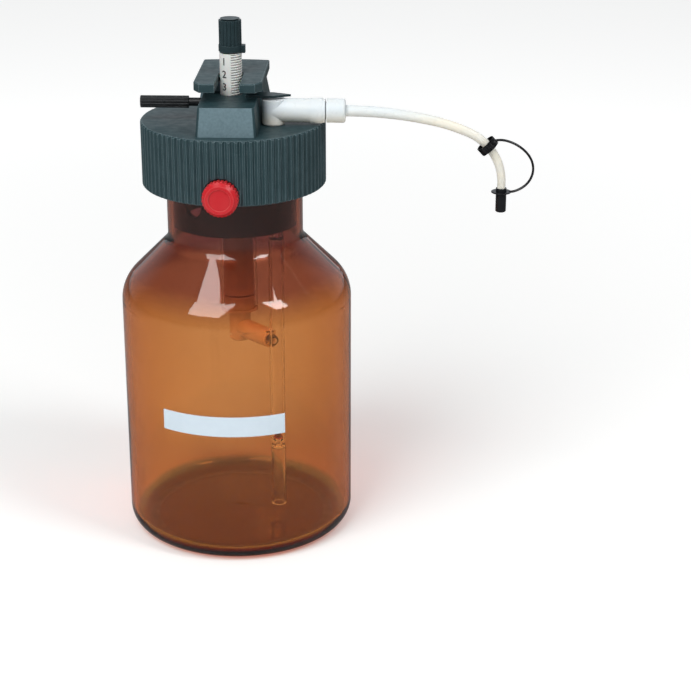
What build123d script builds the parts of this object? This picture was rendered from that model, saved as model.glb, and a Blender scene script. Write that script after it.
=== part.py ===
from build123d import *
import os
from math import cos, hypot, radians, sin, sqrt, tan

# Bottle-top dispenser on a one-litre reagent bottle, in millimetres.
# The origin is on the bottle's axis, on the surface that the bottle stands on.
# The delivery jet points along +X and the front of the unit looks along -Y.

os.makedirs("parts", exist_ok=True)

# Clearances
running_gap = 0.05
slip_gap = 0.3
pocket_gap = 0.5

# Bottle
bottle_r = 53.5
glass_wall = 3.0
floor_thickness = 4.0
heel_round = 9.0
foot_inset = 13.5
push_up = 2.0
shoulder_z = 121.0
shoulder_angle = 45.0
shoulder_round = 18.0
neck_round = 6.0
neck_r = 31.2
neck_wall = 2.6
lip_z = 193.0

# Knurled cap
cap_r = 42.0
cap_height = 29.5
cap_deck = 3.0
cap_wall = 2.4
rib_count = 80
rib_depth = 1.0
rib_valley = 2.4
rim_chamfer = 0.6
gasket_height = 2.4

# Neck insert and its sealing rings
insert_wall = 2.2
insert_length = 44.9
insert_deck = 3.0
screw_space = 3.4
vent_r = 4.5
vent_azimuth = -125.0
vent_height = 12.5
ring_section_r = 0.6
ring_count = 3
ring_pitch = 4.5
first_ring_height = 22.0

# Places of the works in the insert, seen from above
barrel_place_ratio = 0.42146
spindle_to_barrel = 16.0
valve_azimuth = -28.337
tube_to_insert = 0.9

# Head block
block_height = 12.6
block_to_hub = 0.5
block_to_cap_edge = 6.5
block_side_slope = 0.9
block_front_slope = 2.5
block_behind_spindle = 13.0
block_corner = 1.5
pedestal_height = 17.6
pedestal_half_width = 13.2
pedestal_behind_barrel = 10.5
pedestal_to_nozzle = 1.9
pedestal_side_slope = 3.0
pedestal_front_slope = 1.4
pedestal_back_slope = 3.5
pedestal_bulge = 1.6

# Finger plate and plunger
plate_thickness = 4.0
plate_half_width = 15.1
plate_before_spindle = 21.0
plate_behind_barrel = 12.2
plate_bulge = 1.4
plate_chamfer = 0.4
plate_corner_x = 2.8
plate_corner_y = 5.0
slot_width = 11.0
spigot_r = 3.0
spigot_length = 10.0
plunger_r = 7.2
piston_clearance = 1.0
seal_height = 5.0
seal_lip = 1.4
seal_core_r = 5.0

# Glass barrel and its holder
barrel_bore_r = 7.5
barrel_wall = 1.2
barrel_bottom_z = 105.0
holder_length = 19.0
holder_wall = 1.7

# Elbow between the barrel and the valve tube
elbow_plug_length = 4.8
elbow_leg_r = 5.2
elbow_leg_drop = 17.2
elbow_arm_r = 4.6
elbow_tip_r = 3.9
elbow_round = 1.6
elbow_setback = 1.5
flow_r = 1.6
leg_flow_r = 2.3

# Glass valve tube
tube_r = 3.5
tube_wall = 1.0
tube_bottom_z = 11.4
tee_drop = 11.0
tee_stub_r = 2.8
tee_stub_length = 11.0
inlet_seat_z = 44.5
outlet_seat_z = 148.5
throat_r = 1.2
throat_length = 2.6
cage_r = 1.5
cage_rise = 5.6
cage_length = 1.4
waist_depth = 0.35
ball_r = 1.9
ball_gap = 0.06
grommet_wall = 1.5

# Spindle, stop collar and dose knob
spindle_r = 5.0
spindle_bottom_z = 152.0
spindle_neck_r = 4.0
collar_z = 229.5
collar_height = 3.5
collar_r = 5.3
collar_chamfer = 0.8
lug_reach = 6.6
lug_width = 3.2
dose_knob_r = 5.05
dose_knob_height = 11.8
dose_flutes = 18
flute_r = 0.45
knob_chamfer = 0.7
nut_r = 7.2
nut_height = 4.6

# Lock screw
lock_height = 8.5
lock_head_r = 2.75
lock_head_length = 21.7
lock_flutes = 12
lock_neck_r = 1.9
lock_neck_length = 5.6
lock_shank_r = 1.5
lock_pad_length = 1.8

# Clamp screw
clamp_azimuth = -93.0
clamp_height = 4.1
clamp_knob_r = 8.05
clamp_knob_thickness = 5.6
clamp_knob_bevel = 1.7
clamp_flutes = 28
clamp_face_r = 4.9
clamp_face_depth = 0.4
clamp_notch_r = 8.7
clamp_notch_depth = 1.7
clamp_boss_r = 4.6
clamp_boss_length = 3.4
clamp_shank_r = 2.5
clamp_pad_thickness = 1.8

# Nozzle, nut, jet, tip cap and strap
hub_r = 5.2
hub_height = 11.6
hub_lift = 0.6
hub_spigot_r = 4.6
hub_spigot_length = 2.0
nozzle_r = 5.4
nozzle_height = 6.3
nozzle_length = 23.2
band_r = 5.7
band_length = 6.5
band_setback = 1.4
nozzle_stub_r = 3.9
nozzle_stub_length = 6.0
nut_length = 8.4
nut_groove = 0.6
jet_root_r = 2.6
jet_tip_r = 1.85
jet_bore_r = 1.1
jet_first_round = 182.0
jet_first_angle = 12.2
jet_second_round = 86.0
jet_second_angle = 12.0
jet_third_round = 25.0
jet_tip_length = 11.6
tip_cap_r = 2.4
tip_cap_length = 11.0
tip_cap_floor = 1.6
strap_ring_wall = 2.2
strap_ring_height = 1.2
strap_width = 1.6
strap_thickness = 1.2
strap_ring_ratio = 0.79
strap_reach = 14.1
catch_to_spindle = 2.0
catch_past_valve = 7.9
catch_point_ratio = 0.4
catch_width = 7.0
catch_thickness = 1.0

# Screws that hold the head block down on the cap
screw_r = 1.3
screw_head_r = 2.5
screw_head_height = 1.8
screw_length = 7.0
screw_to_insert = 1.3
screw_to_block_side = 4.4
screw_to_plunger = 3.5
screw_behind_barrel = 2.0

# Heights, radii and places that follow from the sizes above
foot_r = bottle_r - foot_inset
cap_under_z = lip_z + gasket_height
cap_top_z = cap_under_z + cap_deck
cap_rim_z = cap_top_z - cap_height
cap_inner_r = cap_r - rib_depth - cap_wall
neck_bore_r = neck_r - neck_wall
insert_r = neck_bore_r - slip_gap
insert_inner_r = insert_r - insert_wall
insert_bottom_z = cap_under_z - insert_length
deck_top_z = cap_under_z - screw_space
deck_bottom_z = deck_top_z - insert_deck
block_top_z = cap_top_z + block_height
pedestal_top_z = cap_top_z + pedestal_height
barrel_r = barrel_bore_r + barrel_wall
barrel_y = barrel_place_ratio * insert_inner_r
spindle_y = barrel_y - spindle_to_barrel
valve_axis_r = insert_inner_r - tube_to_insert - tube_r
valve_x = valve_axis_r * cos(radians(valve_azimuth))
valve_y = valve_axis_r * sin(radians(valve_azimuth))
tee_z = barrel_bottom_z - tee_drop
block_half_width = valve_x - hub_r - block_to_hub
block_front_y = block_to_cap_edge - cap_r
block_back_y = spindle_y + block_behind_spindle
pedestal_front_y = valve_y + nozzle_r + pedestal_to_nozzle
pedestal_back_y = barrel_y + pedestal_behind_barrel
plate_front_y = spindle_y - plate_before_spindle
plate_back_y = barrel_y + plate_behind_barrel
elbow_plug_top_z = barrel_bottom_z + elbow_plug_length
piston_z = elbow_plug_top_z + piston_clearance
tube_bore_r = tube_r - tube_wall
hub_bottom_z = cap_top_z + hub_lift
nozzle_z = cap_top_z + nozzle_height
nozzle_end_x = valve_x + nozzle_length
tube_top_z = nozzle_z - flow_r
lock_z = cap_top_z + lock_height
clamp_z = cap_rim_z + clamp_height
knob_z = collar_z + collar_height
down_angle = 90.0


def cone_z(radius, inset):
    """Height of the shoulder's cone at a radius, moved into the glass by an inset."""
    slope = radians(shoulder_angle)
    return shoulder_z + (bottle_r - radius) * tan(slope) - inset / cos(slope)


def turned_bottle(body_inset, neck_inset, floor, mode):
    """Turn the bottle's outline, or its hollow, about the bottle's axis."""
    body = bottle_r - body_inset
    neck = neck_r - neck_inset
    shoulder = (body, cone_z(body, body_inset))
    root = (neck, cone_z(neck, body_inset))
    with BuildSketch(Plane.XZ) as outline:
        with BuildLine():
            Polyline(
                (0, floor + push_up),
                (foot_r, floor),
                (body, floor),
                shoulder,
                root,
                (neck, lip_z),
                (0, lip_z),
                close=True,
            )
        make_face()
        corners = outline.vertices()
        fillet(corners.sort_by_distance((body, floor))[0], heel_round - body_inset)
        corners = outline.vertices()
        fillet(corners.sort_by_distance(shoulder)[0], shoulder_round - body_inset)
        corners = outline.vertices()
        fillet(corners.sort_by_distance(root)[0], neck_round + body_inset)
    revolve(outline.sketch, axis=Axis.Z, mode=mode)


def round_bar(plane, radius, length, mode=Mode.ADD):
    """Extrude a circle from a plane along its normal."""
    with BuildSketch(plane) as disc:
        Circle(radius)
    extrude(disc.sketch, amount=length, mode=mode)


def fluted_bar(plane, radius, length, flutes, flute_radius):
    """Extrude a circle with a ring of small round flutes in its edge."""
    with BuildSketch(plane) as disc:
        Circle(radius)
        with PolarLocations(radius, flutes):
            Circle(flute_radius, mode=Mode.SUBTRACT)
    extrude(disc.sketch, amount=length)


def horizontal_plane(x, y, z):
    """Plane that looks up, with its origin at a point."""
    return Plane((x, y, z))


def outward_plane(azimuth, distance, z):
    """Upright plane that looks away from the bottle's axis, at a distance from it."""
    outward = Vector(cos(radians(azimuth)), sin(radians(azimuth)), 0)
    return Plane(outward * distance + Vector(0, 0, z), z_dir=outward)


# The bottle is blown glass with a round heel, a shallow push-up and a straight ground neck.
with BuildPart() as bottle:
    turned_bottle(0, 0, 0, Mode.ADD)
    turned_bottle(glass_wall, neck_wall, floor_thickness, Mode.SUBTRACT)
bottle.part.label = "bottle"
export_step(bottle.part, "parts/bottle.step")

# The knurled cap is one moulding: a ribbed skirt, a flat top with holes for the works,
# and inside the skirt a boss for the clamp screw, behind a round notch for its knob.
clamp_bore_r = clamp_shank_r + running_gap
notch_floor = cap_r - clamp_notch_depth
boss_inner = cap_inner_r - clamp_boss_length
screw_front_x = block_half_width - screw_to_block_side
screw_front_y = -sqrt((insert_inner_r - screw_to_insert - screw_head_r) ** 2 - screw_front_x ** 2)
screw_back_x = plunger_r + slip_gap + screw_to_plunger
screw_back_y = barrel_y + screw_behind_barrel
screw_places = [
    (-screw_front_x, screw_front_y),
    (screw_front_x, screw_front_y),
    (-screw_back_x, screw_back_y),
    (screw_back_x, screw_back_y),
]
with BuildPart() as knurled_cap:
    with BuildSketch(Plane.XY.offset(cap_rim_z)):
        Circle(cap_r)
        with PolarLocations(cap_r, rib_count):
            Polygon(
                (rib_depth, -rib_valley),
                (-rib_depth, 0),
                (rib_depth, rib_valley),
                mode=Mode.SUBTRACT,
            )
    extrude(amount=cap_height)
    with BuildSketch(Plane.XZ):
        with Locations((cap_r, cap_rim_z), (cap_r, cap_top_z)):
            Rectangle(rim_chamfer * sqrt(2), rim_chamfer * sqrt(2), rotation=45)
    revolve(axis=Axis.Z, mode=Mode.SUBTRACT)
    round_bar(Plane.XY.offset(cap_rim_z), cap_inner_r, cap_height - cap_deck, Mode.SUBTRACT)
    round_bar(outward_plane(clamp_azimuth, boss_inner, clamp_z), clamp_boss_r,
              clamp_boss_length + cap_wall)
    round_bar(outward_plane(clamp_azimuth, notch_floor, clamp_z), clamp_notch_r,
              cap_r, Mode.SUBTRACT)
    round_bar(outward_plane(clamp_azimuth, neck_r, clamp_z), clamp_bore_r,
              cap_r, Mode.SUBTRACT)
    with BuildSketch(Plane.XY.offset(cap_under_z)):
        with Locations((0, barrel_y)):
            Circle(plunger_r + slip_gap)
        with Locations((0, spindle_y)):
            Circle(spindle_r + slip_gap)
        with Locations((valve_x, valve_y)):
            Circle(hub_spigot_r + running_gap)
        with Locations(*screw_places):
            Circle(screw_r + running_gap)
    extrude(amount=cap_deck, mode=Mode.SUBTRACT)
knurled_cap.part.label = "knurled_cap"
export_step(knurled_cap.part, "parts/knurled_cap.step")

# The neck insert hangs inside the bottle's neck and carries the barrel and the valve tube
# on its deck. Its outside is grooved for the sealing rings.
ring_heights = [insert_bottom_z + first_ring_height + ring_pitch * i for i in range(ring_count)]
ring_centre_r = neck_bore_r - running_gap - ring_section_r
groove_floor_r = ring_centre_r - ring_section_r - running_gap
grommet_r = tube_r + running_gap + grommet_wall
with BuildPart() as neck_insert:
    round_bar(Plane.XY.offset(insert_bottom_z), insert_r, insert_length)
    round_bar(Plane.XY.offset(insert_bottom_z), insert_inner_r,
              deck_bottom_z - insert_bottom_z, Mode.SUBTRACT)
    round_bar(Plane.XY.offset(deck_top_z), insert_inner_r, screw_space, Mode.SUBTRACT)
    with BuildSketch(Plane.XZ):
        for height in ring_heights:
            with Locations((groove_floor_r, height)):
                Rectangle(neck_bore_r - groove_floor_r, 2 * (ring_section_r + running_gap),
                          align=(Align.MIN, Align.CENTER))
    revolve(axis=Axis.Z, mode=Mode.SUBTRACT)
    round_bar(outward_plane(vent_azimuth, 0, insert_bottom_z + vent_height), vent_r,
              neck_r, Mode.SUBTRACT)
    with BuildSketch(Plane.XY.offset(deck_bottom_z)):
        with Locations((0, barrel_y)):
            Circle(plunger_r + slip_gap)
        with Locations((0, spindle_y)):
            Circle(spindle_r + slip_gap)
        with Locations((valve_x, valve_y)):
            Circle(grommet_r + running_gap)
    extrude(amount=insert_deck, mode=Mode.SUBTRACT)
neck_insert.part.label = "neck_insert"
export_step(neck_insert.part, "parts/neck_insert.step")

with BuildPart() as sealing_rings:
    with BuildSketch(Plane.XZ):
        for height in ring_heights:
            with Locations((ring_centre_r, height)):
                Circle(ring_section_r)
    revolve(axis=Axis.Z)
sealing_rings.part.label = "sealing_rings"
export_step(sealing_rings.part, "parts/sealing_rings.step")

with BuildPart() as neck_gasket:
    with BuildSketch(Plane.XY.offset(lip_z)):
        Circle(neck_r)
        Circle(neck_bore_r, mode=Mode.SUBTRACT)
    extrude(amount=gasket_height)
neck_gasket.part.label = "neck_gasket"
export_step(neck_gasket.part, "parts/neck_gasket.step")


def pedestal_section(level, half_width, front, back):
    """Section of the pedestal at a height: four-sided, with a back edge that bows outwards."""
    with BuildSketch(Plane.XY.offset(level)) as section:
        with BuildLine():
            Polyline((-half_width, back), (-half_width, front), (half_width, front),
                     (half_width, back))
            ThreePointArc((half_width, back), (0, back + pedestal_bulge), (-half_width, back))
        make_face()
    return section.sketch


# The head block stands on the cap: a low front part with a sloping face, through which
# the spindle rises, and a flared pedestal behind it, which guides the plunger.
with BuildPart() as head_block:
    for level, half_width, front in (
        (cap_top_z, block_half_width, block_front_y),
        (block_top_z, block_half_width - block_side_slope, block_front_y + block_front_slope),
    ):
        with BuildSketch(Plane.XY.offset(level)):
            with Locations((0, (block_back_y + front) / 2)):
                RectangleRounded(2 * half_width, block_back_y - front, block_corner)
    loft()
    loft([
        pedestal_section(cap_top_z, pedestal_half_width + pedestal_side_slope, pedestal_front_y,
                         pedestal_back_y + pedestal_back_slope),
        pedestal_section(pedestal_top_z, pedestal_half_width,
                         pedestal_front_y + pedestal_front_slope, pedestal_back_y),
    ])
    round_bar(horizontal_plane(0, barrel_y, cap_top_z), plunger_r + slip_gap,
              pedestal_height, Mode.SUBTRACT)
    round_bar(horizontal_plane(0, spindle_y, cap_top_z), spindle_r + slip_gap,
              pedestal_height, Mode.SUBTRACT)
    round_bar(horizontal_plane(0, spindle_y, cap_top_z), nut_r + running_gap,
              nut_height, Mode.SUBTRACT)
    lock_bore = Plane((0, spindle_y, lock_z), z_dir=(-1, 0, 0))
    round_bar(lock_bore, lock_shank_r + running_gap, 2 * block_half_width, Mode.SUBTRACT)
    with BuildSketch(Plane.XY.offset(cap_top_z)):
        with Locations(*screw_places):
            Circle(screw_r + running_gap)
    extrude(amount=screw_length - cap_deck + pocket_gap, mode=Mode.SUBTRACT)
head_block.part.label = "head_block"
export_step(head_block.part, "parts/head_block.step")

with BuildPart() as block_screws:
    with BuildSketch(Plane.XY.offset(cap_under_z)):
        with Locations(*screw_places):
            Circle(screw_r)
    extrude(amount=screw_length)
    with BuildSketch(Plane.XY.offset(cap_under_z)):
        with Locations(*screw_places):
            Circle(screw_head_r)
    extrude(amount=-screw_head_height)
block_screws.part.label = "block_screws"
export_step(block_screws.part, "parts/block_screws.step")

# The spindle's nut is pressed into the block from below.
with BuildPart() as spindle_nut:
    with BuildSketch(horizontal_plane(0, spindle_y, cap_top_z)):
        Circle(nut_r)
        Circle(spindle_r + running_gap, mode=Mode.SUBTRACT)
    extrude(amount=nut_height)
spindle_nut.part.label = "spindle_nut"
export_step(spindle_nut.part, "parts/spindle_nut.step")

# The catch is a pointed leaf on the block's top that keeps the nozzle's hub down.
catch_start_x = spindle_r + catch_to_spindle
catch_end_x = valve_x + catch_past_valve
catch_neck_x = catch_end_x - (catch_end_x - catch_start_x) * catch_point_ratio
with BuildPart() as hub_catch:
    with BuildSketch(horizontal_plane(0, valve_y, block_top_z)):
        Polygon(
            (catch_start_x, -catch_width / 2),
            (catch_neck_x, -catch_width / 2),
            (catch_end_x, 0),
            (catch_neck_x, catch_width / 2),
            (catch_start_x, catch_width / 2),
        )
    extrude(amount=catch_thickness)
hub_catch.part.label = "hub_catch"
export_step(hub_catch.part, "parts/hub_catch.step")

# The glass barrel is a plain precision tube, held by a plastic sleeve under the deck.
with BuildPart() as glass_barrel:
    with BuildSketch(horizontal_plane(0, barrel_y, barrel_bottom_z)):
        Circle(barrel_r)
        Circle(barrel_bore_r, mode=Mode.SUBTRACT)
    extrude(amount=deck_bottom_z - barrel_bottom_z)
glass_barrel.part.label = "glass_barrel"
export_step(glass_barrel.part, "parts/glass_barrel.step")

holder_r = barrel_r + running_gap + holder_wall
with BuildPart() as barrel_holder:
    with BuildSketch(horizontal_plane(0, barrel_y, deck_bottom_z - holder_length)):
        Circle(holder_r)
        Circle(barrel_r + running_gap, mode=Mode.SUBTRACT)
    extrude(amount=holder_length)
    lower_edge = barrel_holder.edges().filter_by(GeomType.CIRCLE).group_by(Axis.Z)[0]
    chamfer(lower_edge.sort_by(SortBy.RADIUS)[-1], holder_wall / 2)
barrel_holder.part.label = "barrel_holder"
export_step(barrel_holder.part, "parts/barrel_holder.step")

# The plunger is a translucent rod with a blind bore for the finger plate's spigot
# and a core at its lower end for the lip seal.
with BuildPart() as plunger:
    round_bar(horizontal_plane(0, barrel_y, piston_z), seal_core_r, seal_height)
    round_bar(horizontal_plane(0, barrel_y, piston_z + seal_height), plunger_r,
              pedestal_top_z - piston_z - seal_height)
    round_bar(horizontal_plane(0, barrel_y, pedestal_top_z - spigot_length - slip_gap),
              spigot_r + running_gap, spigot_length + slip_gap, Mode.SUBTRACT)
plunger.part.label = "plunger"
export_step(plunger.part, "parts/plunger.step")

with BuildPart() as piston_seal:
    with BuildSketch(Plane.XZ.offset(-barrel_y)):
        with BuildLine():
            Polyline(
                (seal_core_r + running_gap, piston_z),
                (barrel_bore_r - running_gap, piston_z),
                (barrel_bore_r - running_gap, piston_z + seal_lip),
                (plunger_r, piston_z + 2 * seal_lip),
                (plunger_r, piston_z + seal_height),
                (seal_core_r + running_gap, piston_z + seal_height),
                close=True,
            )
        make_face()
    revolve(axis=Axis((0, barrel_y, 0), (0, 0, 1)))
piston_seal.part.label = "piston_seal"
export_step(piston_seal.part, "parts/piston_seal.step")

# The finger plate is lifted by two fingers. Its slot straddles the spindle, and a
# spigot below it is pressed into the plunger.
with BuildPart() as finger_plate:
    with BuildSketch(Plane.XY.offset(pedestal_top_z)):
        with BuildLine():
            Polyline(
                (plate_half_width, plate_back_y),
                (plate_half_width, plate_front_y + plate_corner_y),
                (plate_half_width - plate_corner_x, plate_front_y),
                (plate_corner_x - plate_half_width, plate_front_y),
                (-plate_half_width, plate_front_y + plate_corner_y),
                (-plate_half_width, plate_back_y),
            )
            ThreePointArc((-plate_half_width, plate_back_y), (0, plate_back_y + plate_bulge),
                          (plate_half_width, plate_back_y))
        make_face()
        with Locations((0, spindle_y)):
            Circle(slot_width / 2, mode=Mode.SUBTRACT)
            Rectangle(slot_width, plate_before_spindle + slot_width,
                      align=(Align.CENTER, Align.MAX), mode=Mode.SUBTRACT)
    extrude(amount=plate_thickness)
    top_edges = finger_plate.faces().sort_by(Axis.Z)[-1].outer_wire().edges()
    chamfer(top_edges, plate_chamfer)
    round_bar(horizontal_plane(0, barrel_y, pedestal_top_z), spigot_r, -spigot_length)
finger_plate.part.label = "finger_plate"
export_step(finger_plate.part, "parts/finger_plate.step")

# The elbow plugs the barrel's lower end, turns under it and slides over the valve
# tube's side stub.
valve_to_barrel = Vector(-valve_x, barrel_y - valve_y, 0)
arm_run = hypot(valve_x, barrel_y - valve_y)
arm_start = tube_r + elbow_setback
leg_bottom_z = barrel_bottom_z - elbow_leg_drop


def arm_plane(distance):
    """Upright plane across the elbow's arm, at a distance from the valve tube's axis."""
    along = valve_to_barrel.normalized()
    return Plane(Vector(valve_x, valve_y, tee_z) + along * distance, z_dir=along)


with BuildPart() as elbow_connector:
    round_bar(horizontal_plane(0, barrel_y, leg_bottom_z), elbow_leg_r, elbow_leg_drop)
    foot_edge = elbow_connector.edges().filter_by(GeomType.CIRCLE).group_by(Axis.Z)[0]
    fillet(foot_edge, elbow_round)
    with BuildSketch(arm_plane(arm_start)):
        Circle(elbow_tip_r)
    with BuildSketch(arm_plane(arm_run)):
        Circle(elbow_arm_r)
    loft()
    round_bar(horizontal_plane(0, barrel_y, barrel_bottom_z - elbow_round), barrel_r, elbow_round)
    round_bar(horizontal_plane(0, barrel_y, barrel_bottom_z), barrel_bore_r - running_gap,
              elbow_plug_length)
    round_bar(horizontal_plane(0, barrel_y, tee_z - leg_flow_r), leg_flow_r,
              elbow_plug_top_z - tee_z + leg_flow_r, Mode.SUBTRACT)
    round_bar(arm_plane(arm_start), tee_stub_r + running_gap,
              tee_stub_length - arm_start + slip_gap, Mode.SUBTRACT)
    round_bar(arm_plane(arm_start), flow_r, arm_run - arm_start, Mode.SUBTRACT)
elbow_connector.part.label = "elbow_connector"
export_step(elbow_connector.part, "parts/elbow_connector.step")


def seat_bore(seat_z):
    """Points down one side of the glass at a ball seat, its cage and the waists there."""
    cage_z = seat_z + cage_rise
    seat_rise = tube_bore_r - throat_r
    cage_taper = tube_bore_r - cage_r
    return [
        (tube_bore_r, seat_z - throat_length - seat_rise),
        (throat_r, seat_z - throat_length),
        (throat_r, seat_z),
        (tube_bore_r, seat_z + seat_rise),
        (tube_bore_r, cage_z),
        (cage_r, cage_z + cage_taper),
        (cage_r, cage_z + cage_taper + cage_length),
        (tube_bore_r, cage_z + 2 * cage_taper + cage_length),
    ]


def waist(seat_z):
    """Points of the shallow waist that the drawn glass has outside a seat."""
    low = seat_z - throat_length - tube_bore_r + throat_r
    return [
        (tube_r, seat_z + tube_bore_r - throat_r),
        (tube_r - waist_depth, seat_z),
        (tube_r - waist_depth, seat_z - throat_length),
        (tube_r, low),
    ]


# The valve tube is one piece of lamp-worked glass. Two throats in its bore are the seats
# of the valve balls, and the cage above each seat keeps its ball in. The stub at its
# middle leads to the barrel.
with BuildPart() as valve_tube:
    with BuildSketch(Plane.XZ.offset(-valve_y)):
        with BuildLine():
            Polyline(
                (valve_x, tube_bottom_z),
                *[(valve_x + r, z) for r, z in
                  [(tube_r, tube_bottom_z)] + waist(inlet_seat_z)[::-1]
                  + waist(outlet_seat_z)[::-1] + [(tube_r, tube_top_z)]],
                (valve_x, tube_top_z),
                close=True,
            )
        make_face()
    revolve(axis=Axis((valve_x, valve_y, 0), (0, 0, 1)))
    round_bar(arm_plane(0), tee_stub_r, tee_stub_length)
    with BuildSketch(Plane.XZ.offset(-valve_y)):
        with BuildLine():
            Polyline(
                (valve_x, tube_bottom_z),
                *[(valve_x + r, z) for r, z in
                  [(tube_bore_r, tube_bottom_z)] + seat_bore(inlet_seat_z)
                  + seat_bore(outlet_seat_z) + [(tube_bore_r, tube_top_z)]],
                (valve_x, tube_top_z),
                close=True,
            )
        make_face()
    revolve(axis=Axis((valve_x, valve_y, 0), (0, 0, 1)), mode=Mode.SUBTRACT)
    round_bar(arm_plane(0), flow_r, tee_stub_length, Mode.SUBTRACT)
valve_tube.part.label = "valve_tube"
export_step(valve_tube.part, "parts/valve_tube.step")

# A ball rests on the 45 degree cone above its throat, a hair clear of the glass.
ball_rise = ball_r / sin(radians(45)) - throat_r + ball_gap
for ball_name, seat_z in (("inlet_ball", inlet_seat_z), ("outlet_ball", outlet_seat_z)):
    with BuildPart() as valve_ball:
        with BuildSketch(Plane.XZ.offset(-valve_y)):
            with BuildLine():
                Line((valve_x, seat_z + ball_rise - ball_r), (valve_x, seat_z + ball_rise + ball_r))
                ThreePointArc(
                    (valve_x, seat_z + ball_rise + ball_r),
                    (valve_x + ball_r, seat_z + ball_rise),
                    (valve_x, seat_z + ball_rise - ball_r),
                )
            make_face()
        revolve(axis=Axis((valve_x, valve_y, 0), (0, 0, 1)))
    valve_ball.part.label = ball_name
    export_step(valve_ball.part, f"parts/{ball_name}.step")

with BuildPart() as tube_grommet:
    with BuildSketch(horizontal_plane(valve_x, valve_y, deck_bottom_z)):
        Circle(grommet_r)
        Circle(tube_r + running_gap, mode=Mode.SUBTRACT)
    extrude(amount=insert_deck)
tube_grommet.part.label = "tube_grommet"
export_step(tube_grommet.part, "parts/tube_grommet.step")

# The spindle carries the scale. Its reduced neck holds the stop collar and the dose knob.
with BuildPart() as graduated_spindle:
    round_bar(horizontal_plane(0, spindle_y, spindle_bottom_z), spindle_r,
              collar_z - spindle_bottom_z)
    chamfer(graduated_spindle.edges().group_by(Axis.Z)[0], knob_chamfer)
    round_bar(horizontal_plane(0, spindle_y, collar_z), spindle_neck_r,
              collar_height + dose_knob_height / 2)
graduated_spindle.part.label = "graduated_spindle"
export_step(graduated_spindle.part, "parts/graduated_spindle.step")

with BuildPart() as stop_collar:
    round_bar(horizontal_plane(0, spindle_y, collar_z), collar_r, collar_height)
    chamfer(stop_collar.edges().group_by(Axis.Z)[0], collar_chamfer)
    with BuildSketch(horizontal_plane(0, spindle_y, collar_z)):
        Rectangle(lug_reach, lug_width, align=(Align.MIN, Align.CENTER))
    extrude(amount=collar_height)
    round_bar(horizontal_plane(0, spindle_y, collar_z), spindle_neck_r + running_gap,
              collar_height, Mode.SUBTRACT)
stop_collar.part.label = "stop_collar"
export_step(stop_collar.part, "parts/stop_collar.step")

with BuildPart() as dose_knob:
    fluted_bar(horizontal_plane(0, spindle_y, knob_z), dose_knob_r, dose_knob_height,
               dose_flutes, flute_r)
    round_bar(horizontal_plane(0, spindle_y, knob_z), spindle_neck_r + running_gap,
              dose_knob_height / 2 + slip_gap, Mode.SUBTRACT)
    with BuildSketch(horizontal_plane(0, spindle_y, knob_z + dose_knob_height)):
        Circle(dose_knob_r + knob_chamfer)
        Circle(dose_knob_r - knob_chamfer, mode=Mode.SUBTRACT)
    extrude(amount=-knob_chamfer, taper=-45, mode=Mode.SUBTRACT)
dose_knob.part.label = "dose_knob"
export_step(dose_knob.part, "parts/dose_knob.step")

# The lock screw enters the block from the left and presses a soft pad on the spindle.
pad_tip_x = spindle_r + running_gap
pad_root_x = pad_tip_x + lock_pad_length
shank_end_x = block_half_width + slip_gap
head_start_x = shank_end_x + lock_neck_length


def left_plane(distance):
    """Upright plane that looks along -X from the spindle's axis, at a distance from it."""
    return Plane((-distance, spindle_y, lock_z), z_dir=(-1, 0, 0))


with BuildPart() as lock_pad:
    round_bar(left_plane(pad_tip_x), lock_shank_r, lock_pad_length)
lock_pad.part.label = "lock_pad"
export_step(lock_pad.part, "parts/lock_pad.step")

with BuildPart() as lock_screw:
    round_bar(left_plane(pad_root_x), lock_shank_r, shank_end_x - pad_root_x)
    round_bar(left_plane(shank_end_x), lock_neck_r, lock_neck_length)
    fluted_bar(left_plane(head_start_x), lock_head_r, lock_head_length, lock_flutes, flute_r)
lock_screw.part.label = "lock_screw"
export_step(lock_screw.part, "parts/lock_screw.step")

# The clamp screw runs in the cap's boss and presses a soft pad on the glass neck.
pad_face = neck_r + slip_gap
shank_start = pad_face + clamp_pad_thickness
knob_start = notch_floor + slip_gap
with BuildPart() as clamp_pad:
    round_bar(outward_plane(clamp_azimuth, pad_face, clamp_z), clamp_shank_r,
              clamp_pad_thickness)
clamp_pad.part.label = "clamp_pad"
export_step(clamp_pad.part, "parts/clamp_pad.step")

with BuildPart() as clamp_screw:
    round_bar(outward_plane(clamp_azimuth, shank_start, clamp_z), clamp_shank_r,
              knob_start - shank_start)
    with BuildSketch(outward_plane(clamp_azimuth, knob_start, clamp_z)):
        Circle(clamp_knob_r)
    extrude(amount=clamp_knob_thickness - clamp_knob_bevel)
    with BuildSketch(outward_plane(clamp_azimuth,
                                   knob_start + clamp_knob_thickness - clamp_knob_bevel, clamp_z)):
        Circle(clamp_knob_r)
    extrude(amount=clamp_knob_bevel, taper=45)
    with BuildSketch(outward_plane(clamp_azimuth, knob_start, clamp_z)):
        with PolarLocations(clamp_knob_r, clamp_flutes):
            Circle(flute_r)
    extrude(amount=clamp_knob_thickness, mode=Mode.SUBTRACT)
    round_bar(outward_plane(clamp_azimuth, knob_start + clamp_knob_thickness, clamp_z),
              clamp_face_r, -clamp_face_depth, Mode.SUBTRACT)
clamp_screw.part.label = "clamp_screw"
export_step(clamp_screw.part, "parts/clamp_screw.step")

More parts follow.
